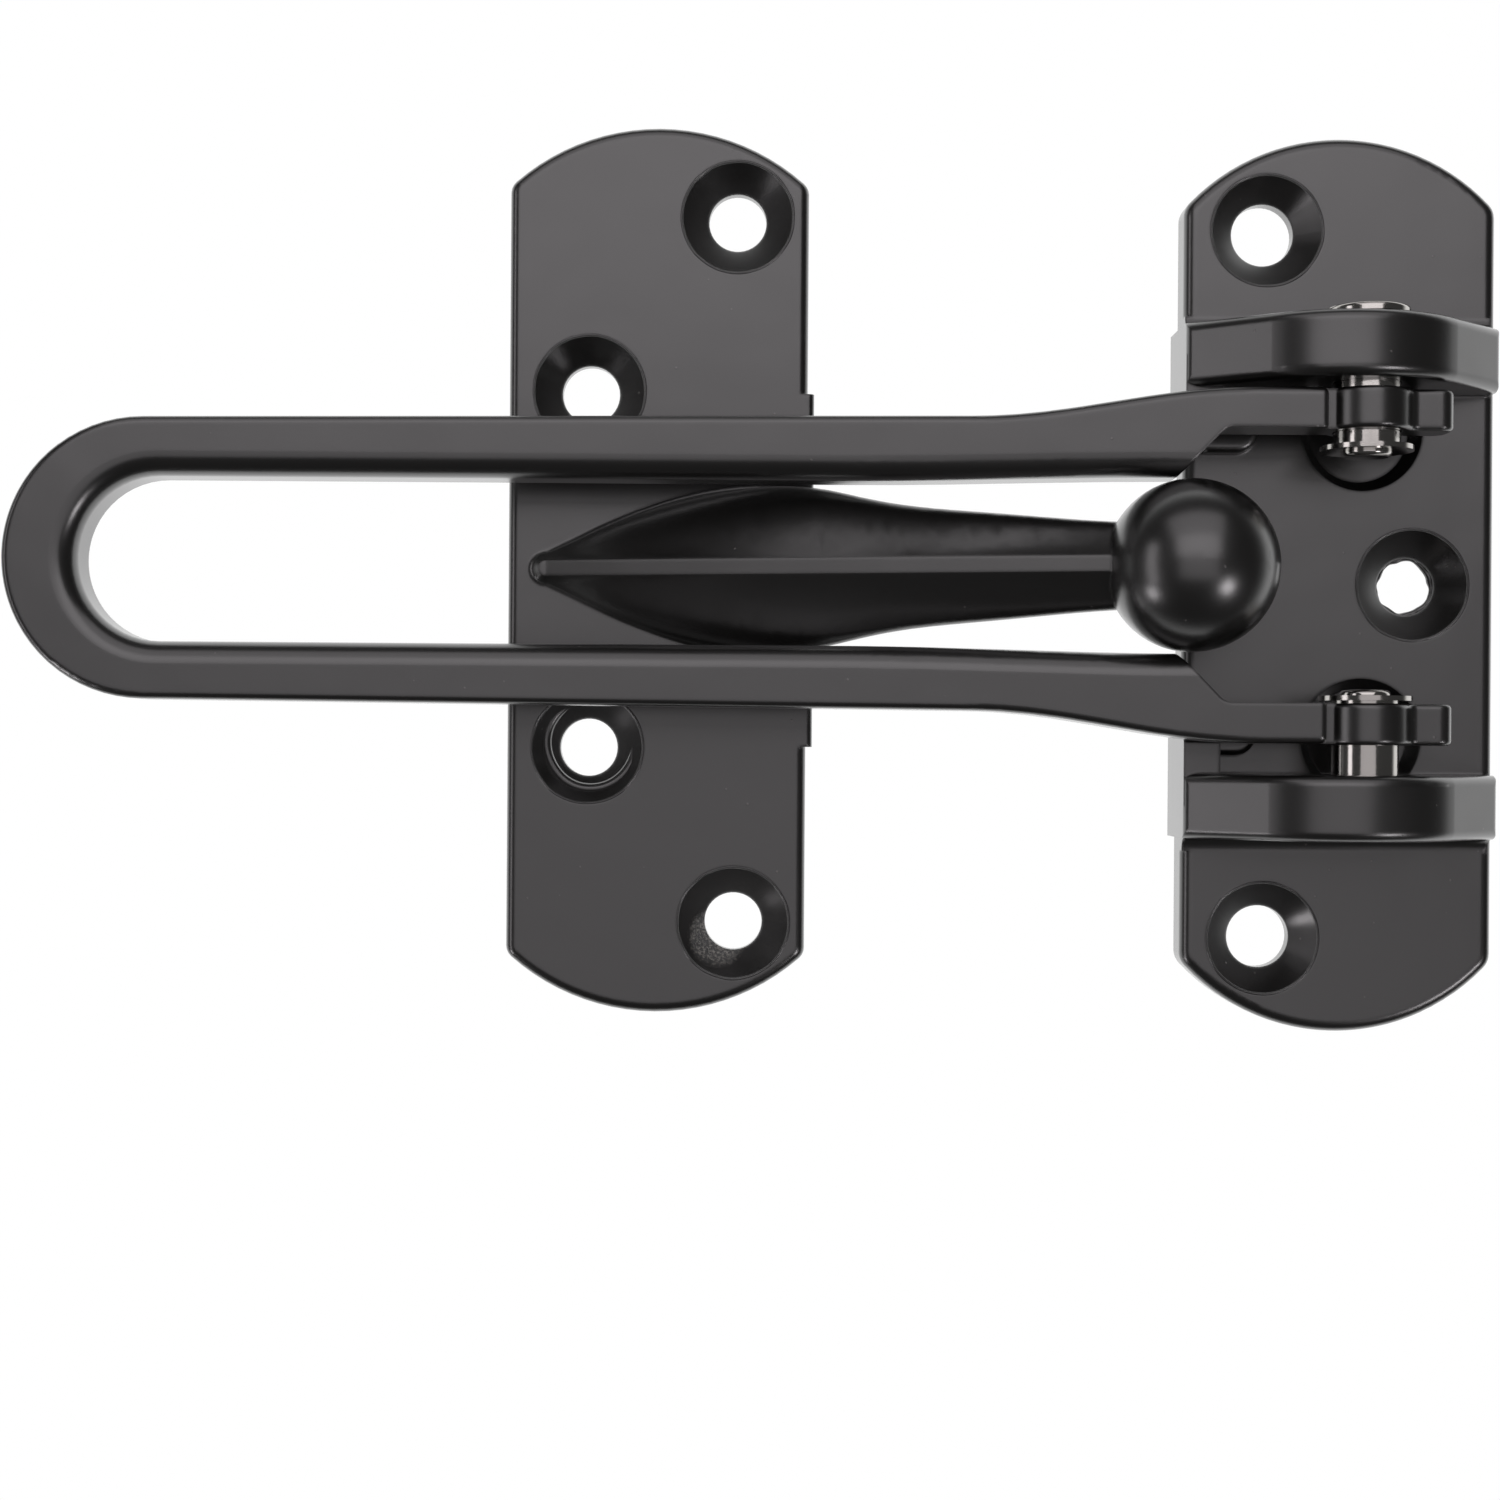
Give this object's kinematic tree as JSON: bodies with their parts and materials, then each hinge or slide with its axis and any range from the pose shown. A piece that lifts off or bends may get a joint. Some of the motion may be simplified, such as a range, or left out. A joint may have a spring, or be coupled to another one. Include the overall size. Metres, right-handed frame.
{
  "type": "swing bar door guard",
  "caption": "Door guard with a slotted swing bar, hinged between arched ears, that closes over a ball on a prow shaped arm to hold a door ajar",
  "frame": {"origin": "middle of the hinge plate's back face, on the mounting plane", "axes": "+X along the bar from its loop end to the hinge, +Y along the plates, +Z out of the door or frame"},
  "size_m": [0.1261, 0.0779, 0.019],
  "materials": {
    "black_casting": "satin black paint on a zinc die casting",
    "plated_pin": "bright nickel plated steel",
    "plated_washer": "bright nickel plated steel"
  },
  "bodies": {
    "plates": {"hinge_plate": "black_casting", "ball_plate": "black_casting", "upper_pin": "plated_pin", "lower_pin": "plated_pin", "upper_washer": "plated_washer", "lower_washer": "plated_washer"},
    "bar": {"swing_bar": "black_casting"}
  },
  "joints": [
    {"name": "bar_swing", "type": "hinge", "parent": "plates", "child": "bar", "pos_m": [0.0006, 0.0009, 0.01], "axis": [0, 1, 0], "range_deg": [0, 180]}
  ]
}
